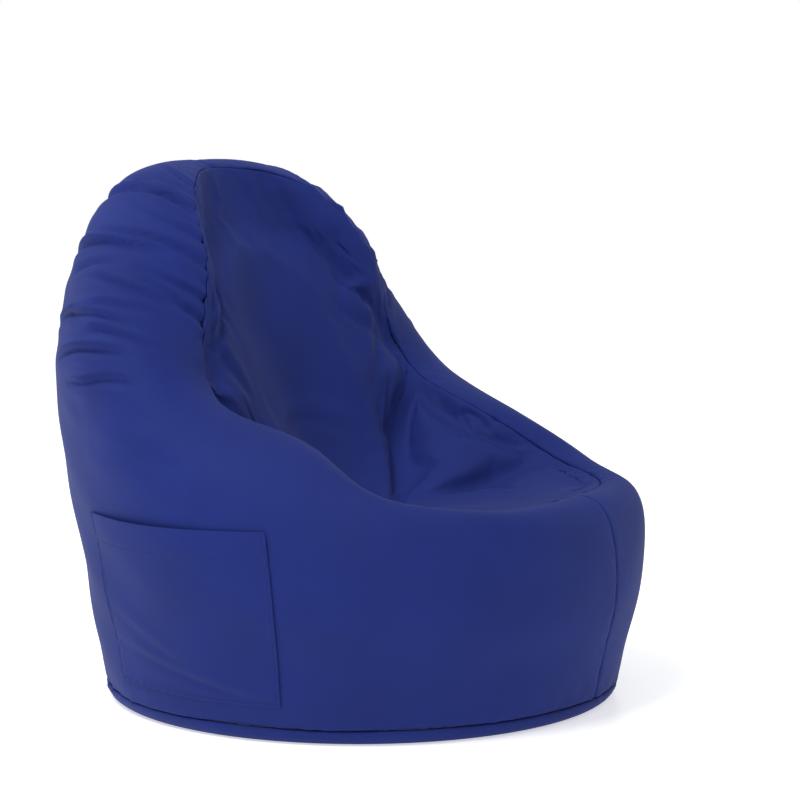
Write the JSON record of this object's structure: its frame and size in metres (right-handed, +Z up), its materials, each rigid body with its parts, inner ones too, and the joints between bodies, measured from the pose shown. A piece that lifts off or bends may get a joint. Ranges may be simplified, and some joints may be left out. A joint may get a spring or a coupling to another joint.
{
  "type": "bean bag chair",
  "caption": "Round-based bean bag chair with arms, a scooped seat, a tall soft back, a patch side pocket, a webbing handle and a zipped cover over a bead-filled liner.",
  "frame": {"origin": "centre of the round base, on the floor", "axes": "+Z up, -Y the way the sitter faces, +X to the sitter's left"},
  "size_m": [0.8106, 0.7927, 0.7152],
  "materials": {
    "cover_cloth": "plain-woven polyester, royal blue, slight sheen",
    "thread": "matching sewing thread",
    "webbing": "ribbed polyester webbing",
    "zip_tape": "dark woven zip tape",
    "zip_teeth": "nylon coil teeth",
    "zip_metal": "nickel-plated zip metal",
    "liner_cloth": "white non-woven liner cloth",
    "beads": "loose expanded polystyrene beads",
    "label": "blank satin care label"
  },
  "bodies": {
    "bag": {"side_panel_right": "cover_cloth", "side_panel_left": "cover_cloth", "seat_panel": "cover_cloth", "base_panel": "cover_cloth", "side_pocket": "cover_cloth", "pocket_tack_front": "thread", "pocket_tack_back": "thread", "cover_zip_tape_left": "zip_tape", "cover_zip_tape_right": "zip_tape", "cover_zip_teeth_left": "zip_teeth", "cover_zip_teeth_right": "zip_teeth", "cover_zip_stop_closed": "zip_metal", "cover_zip_stop_open": "zip_metal", "liner_panel_right": "liner_cloth", "liner_panel_left": "liner_cloth", "liner_seat_panel": "liner_cloth", "liner_base_panel": "liner_cloth", "liner_zip_tape_back": "zip_tape", "liner_zip_tape_front": "zip_tape", "liner_zip_teeth_back": "zip_teeth", "liner_zip_teeth_front": "zip_teeth", "liner_zip_stop_closed": "zip_metal", "liner_zip_stop_open": "zip_metal", "bead_filling": "beads", "handle_end_right": "webbing", "handle_end_left": "webbing", "care_label": "label"},
    "cover_slider": {"cover_zip_slider": "zip_metal"},
    "cover_pull": {"cover_zip_pull": "zip_metal"},
    "liner_slider": {"liner_zip_slider": "zip_metal", "liner_zip_pull": "zip_metal"},
    "handle": {"carry_handle": "webbing"}
  },
  "joints": [
    {"name": "cover_zip_slide", "type": "slide", "parent": "bag", "child": "cover_slider", "axis": [0, 0.2075, 0.9782], "range_m": [0, 0.2]},
    {"name": "cover_pull_hinge", "type": "hinge", "parent": "cover_slider", "child": "cover_pull", "pos_m": [0, 0.35964, 0.05995], "axis": [1, 0, 0], "range_deg": [-12, 150]},
    {"name": "liner_zip_slide", "type": "slide", "parent": "bag", "child": "liner_slider", "axis": [1, 0, 0], "range_m": [0, 0.2]},
    {"name": "handle_hinge", "type": "hinge", "parent": "bag", "child": "handle", "pos_m": [0, 0.37441, 0.59442], "axis": [1, 0, 0], "range_deg": [0, 120]}
  ]
}
